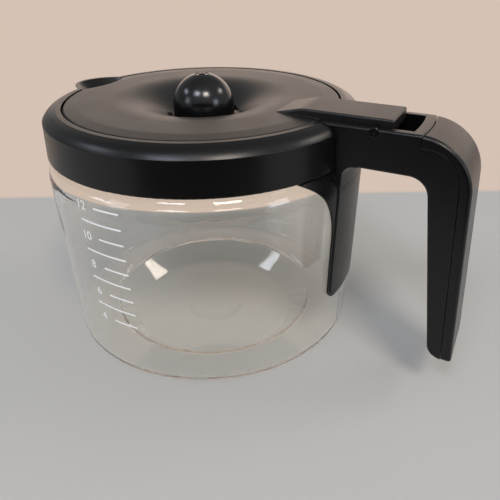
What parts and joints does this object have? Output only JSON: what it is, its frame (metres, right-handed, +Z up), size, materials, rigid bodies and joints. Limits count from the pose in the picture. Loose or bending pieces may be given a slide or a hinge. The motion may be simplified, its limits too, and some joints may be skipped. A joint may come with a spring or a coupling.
{
  "type": "glass coffee carafe",
  "caption": "Round glass coffee jug with a black collar and pouring lip, a dished hinged lid with a flow dome and thumb tab, and an open-ended handle with a leg on the glass.",
  "frame": {"origin": "middle of the foot disc's flat underside, on the jug's axis", "axes": "+Z up along the jug's axis, +X towards the handle, the pouring lip at -X"},
  "size_m": [0.2258, 0.162, 0.1433],
  "materials": {
    "clear_glass": "blown borosilicate, clear",
    "black_satin": "fine moulded texture, satin",
    "lid_satin": "fine moulded texture, satin",
    "dome_gloss": "smooth moulded",
    "silicone": "matte",
    "pin_black": "smooth moulded acetal",
    "screw_steel": "zinc plated"
  },
  "bodies": {
    "jug": {"glass_jug": "clear_glass", "rim_gasket": "silicone", "collar": "black_satin", "collar_screws": "screw_steel", "handle_frame": "black_satin", "handle_cover": "black_satin", "cover_screws": "screw_steel"},
    "lid": {"lid_shell": "lid_satin", "flow_dome": "dome_gloss", "hinge_pin": "pin_black"}
  },
  "joints": [
    {"name": "lid_hinge", "type": "hinge", "parent": "jug", "child": "lid", "pos_m": [0.093, 0, 0.131], "axis": [0, 1, 0], "range_deg": [0, 95]}
  ]
}
